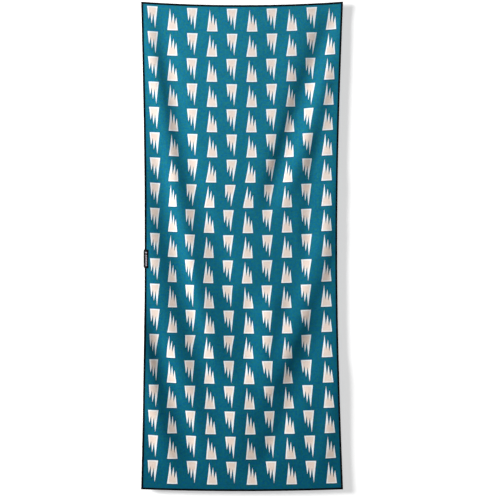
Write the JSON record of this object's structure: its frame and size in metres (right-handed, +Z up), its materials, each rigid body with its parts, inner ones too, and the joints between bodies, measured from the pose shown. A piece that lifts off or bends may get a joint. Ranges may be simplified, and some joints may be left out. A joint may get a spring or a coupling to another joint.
{
  "type": "quick dry towel",
  "caption": "Rectangular printed microfibre travel towel hung by its two top corners, with overlocked edges and a woven label folded round one long side; it folds in half across its length.",
  "frame": {"origin": "middle of the top hem's upper edge, on the cloth's mid-plane, where the hung towel's top edge lies", "axes": "+Z up along the towel's length, +X across its width towards the side without the label, +Y out of its back; the front face looks towards -Y"},
  "size_m": [0.762, 0.0138, 1.849],
  "materials": {
    "printed_cloth": "matte",
    "edge_thread": "matte",
    "label_tape": "satin",
    "label_thread": "matte"
  },
  "bodies": {
    "upper_half": {"cloth_upper_half": "printed_cloth", "top_edge_needle_thread": "edge_thread", "top_edge_front_looper_thread": "edge_thread", "top_edge_back_looper_thread": "edge_thread", "left_edge_upper_needle_thread": "edge_thread", "left_edge_upper_front_looper_thread": "edge_thread", "left_edge_upper_back_looper_thread": "edge_thread", "right_edge_upper_needle_thread": "edge_thread", "right_edge_upper_front_looper_thread": "edge_thread", "right_edge_upper_back_looper_thread": "edge_thread"},
    "lower_half": {"cloth_lower_half": "printed_cloth", "label": "label_tape", "label_needle_thread": "label_thread", "label_bobbin_thread": "label_thread", "bottom_edge_needle_thread": "edge_thread", "left_edge_lower_needle_thread": "edge_thread", "right_edge_lower_needle_thread": "edge_thread", "bottom_edge_front_looper_thread": "edge_thread", "left_edge_lower_front_looper_thread": "edge_thread", "right_edge_lower_front_looper_thread": "edge_thread", "bottom_edge_back_looper_thread": "edge_thread", "left_edge_lower_back_looper_thread": "edge_thread", "right_edge_lower_back_looper_thread": "edge_thread"}
  },
  "joints": [
    {"name": "fold", "type": "hinge", "parent": "upper_half", "child": "lower_half", "pos_m": [0, -0.01, -0.908], "axis": [-1, 0, 0], "range_deg": [0, 179]}
  ]
}
